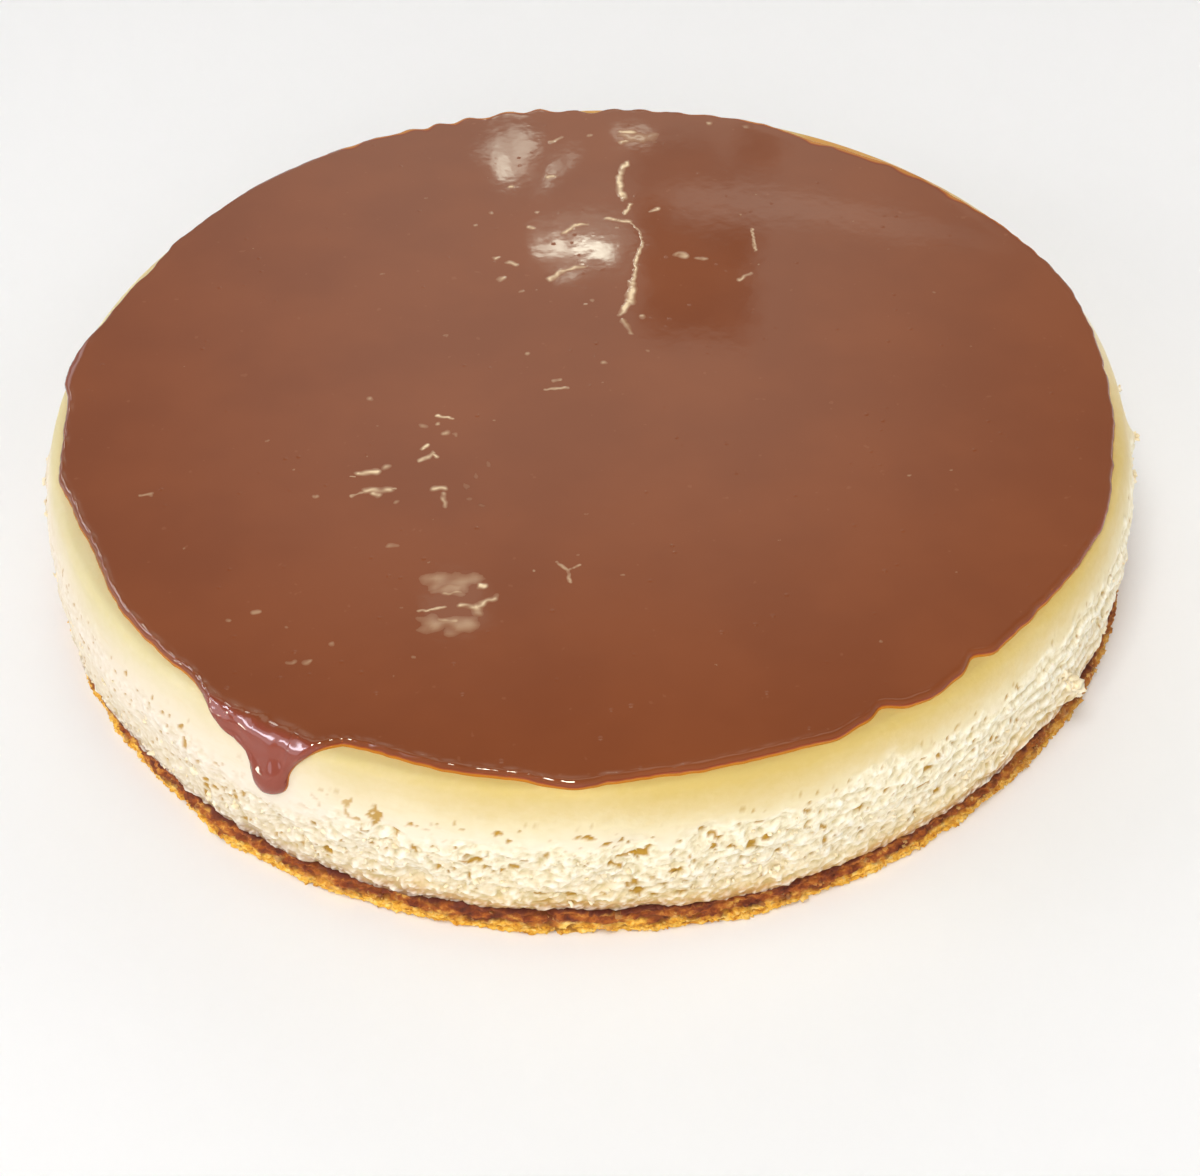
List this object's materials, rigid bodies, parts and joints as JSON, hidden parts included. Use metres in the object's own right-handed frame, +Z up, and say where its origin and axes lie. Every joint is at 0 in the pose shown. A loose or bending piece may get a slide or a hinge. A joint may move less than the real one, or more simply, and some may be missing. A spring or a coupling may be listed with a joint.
{
  "type": "baked cheesecake",
  "caption": "Round baked cheesecake on a thin biscuit crust, topped with a poured chocolate glaze that has run down the side in a drip.",
  "frame": {"origin": "middle of the flat underside of the crust, on the surface that the cake stands on", "axes": "+Z up through the middle of the cake, -Y towards the viewer of the front, +X to the viewer's right; the drip is at the front left"},
  "size_m": [0.2557, 0.2554, 0.0414],
  "materials": {
    "biscuit_crust": "crumbly golden-brown biscuit, dull, ragged at the edge",
    "baked_filling": "baked cream cheese, custard yellow and smooth near the top, coarse and creamy white below, soft sheen",
    "chocolate_glaze": "poured milk chocolate glaze, wet gloss with a rounded edge"
  },
  "bodies": {
    "root": {"crust": "biscuit_crust", "filling": "baked_filling", "glaze": "chocolate_glaze"}
  },
  "joints": []
}
